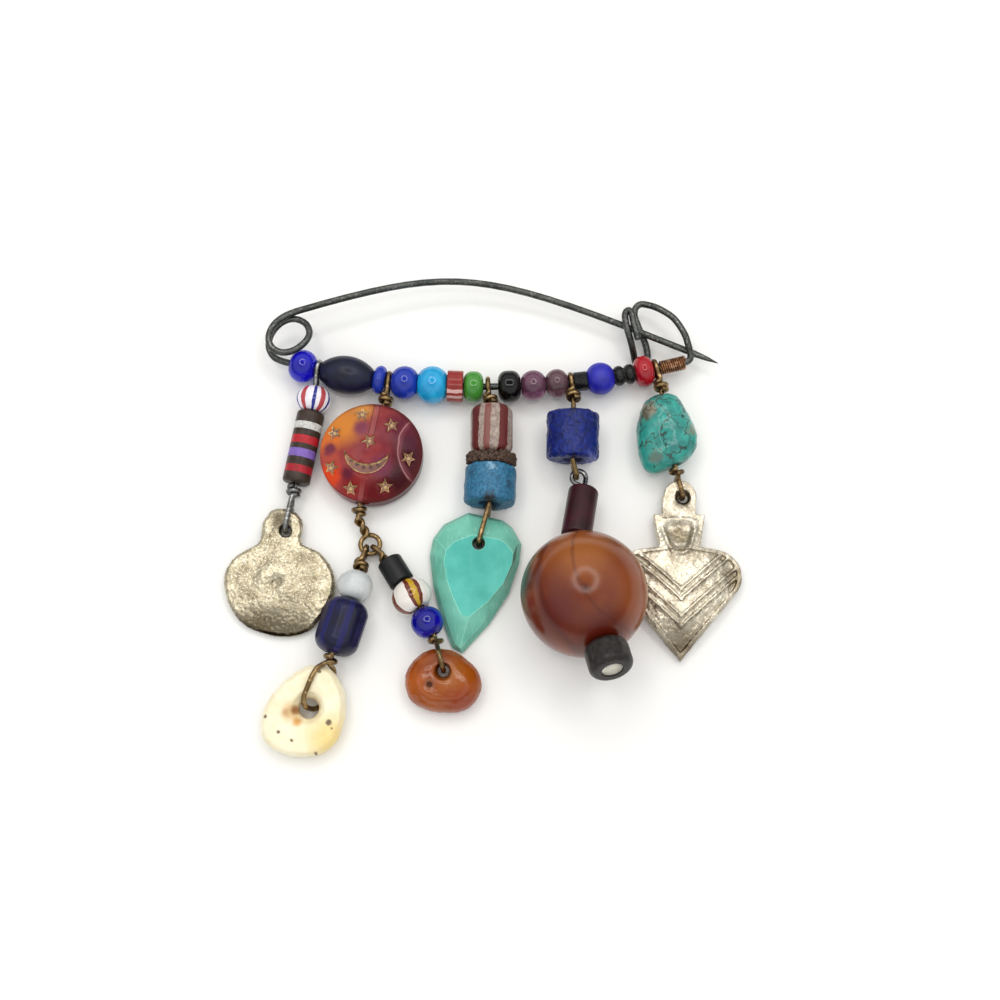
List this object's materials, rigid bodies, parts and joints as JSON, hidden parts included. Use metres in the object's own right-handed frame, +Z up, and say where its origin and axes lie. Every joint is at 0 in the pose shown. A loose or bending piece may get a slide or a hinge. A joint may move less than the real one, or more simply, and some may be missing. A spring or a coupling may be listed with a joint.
{
  "type": "safety pin brooch",
  "caption": "Safety pin brooch of dark wire, its lower arm strung with glass beads and hung with wire drops of beads, stones and cast charms.",
  "frame": {"origin": "middle of the footprint of the lying brooch, on the surface that it lies on", "axes": "+Z up from the surface, +X from the coil to the point of the pin, +Y from the drops to the pin"},
  "size_m": [0.064, 0.0613, 0.0152],
  "materials": {
    "dark_steel": "oxidised",
    "copper_wire": "dull copper",
    "cobalt_glass": "glossy",
    "navy_glass": "satin",
    "blue_glass": "glossy",
    "sky_glass": "glossy",
    "red_striped_glass": "glossy",
    "green_glass": "glossy",
    "black_glass": "glossy",
    "mauve_glass": "glossy",
    "satin_cobalt_glass": "satin",
    "red_glass": "glossy",
    "grey_wire": "dull",
    "striped_glass": "glossy, striped",
    "resistor_shell": "banded",
    "cast_medal_metal": "worn white metal",
    "brass_wire": "tarnished",
    "pressed_glass": "glossy, gilt",
    "milk_glass": "glossy",
    "navy_barrel_glass": "glossy",
    "bone": "polished bone",
    "black_tube_glass": "satin",
    "swirl_glass": "glossy, striped",
    "cobalt_bead_glass": "glossy",
    "amber": "polished",
    "striped_tube_glass": "satin, striped",
    "crust": "rough",
    "rough_blue_glass": "frosted",
    "turquoise": "polished",
    "rough_cobalt_glass": "rough",
    "burgundy_tube_glass": "matte",
    "carnelian": "polished",
    "dark_end_bead": "matte",
    "pale_core": "chalky",
    "turquoise_nugget": "polished, matrix",
    "cast_heart_metal": "worn"
  },
  "bodies": {
    "root": {"pin_wire": "dark_steel", "binding_coil": "copper_wire", "bead_cobalt_clear": "cobalt_glass", "bead_navy_oval": "navy_glass", "bead_blue_ring": "blue_glass", "bead_cobalt_round": "blue_glass", "bead_sky_round": "sky_glass", "bead_red_striped": "red_striped_glass", "bead_green_barrel": "green_glass", "bead_black_barrel": "black_glass", "bead_mauve_a": "mauve_glass", "bead_mauve_b": "mauve_glass", "bead_black_small_a": "black_glass", "bead_matte_cobalt": "satin_cobalt_glass", "bead_black_small_b": "black_glass", "bead_black_small_c": "black_glass", "bead_red_round": "red_glass", "drop1_wire": "grey_wire", "drop1_striped_bead": "striped_glass", "drop1_resistor": "resistor_shell", "drop1_medal": "cast_medal_metal", "disc_wire": "brass_wire", "disc": "pressed_glass", "left_wire": "brass_wire", "left_white_bead": "milk_glass", "left_navy_barrel": "navy_barrel_glass", "bone_ring": "bone", "right_wire": "brass_wire", "right_black_tube": "black_tube_glass", "right_striped_bead": "swirl_glass", "right_cobalt_bead": "cobalt_bead_glass", "amber_nugget": "amber", "drop3_wire": "brass_wire", "drop3_striped_tube": "striped_tube_glass", "drop3_crust": "crust", "drop3_blue_bead": "rough_blue_glass", "turquoise_pendant": "turquoise", "drop4_wire": "brass_wire", "drop4_blue_bead": "rough_cobalt_glass", "drop4_lower_wire": "grey_wire", "drop4_tube_bead": "burgundy_tube_glass", "drop4_ball": "carnelian", "drop4_end_bead": "dark_end_bead", "drop4_end_core": "pale_core", "drop5_wire": "brass_wire", "drop5_turquoise": "turquoise_nugget", "heart_charm": "cast_heart_metal"}
  },
  "joints": []
}
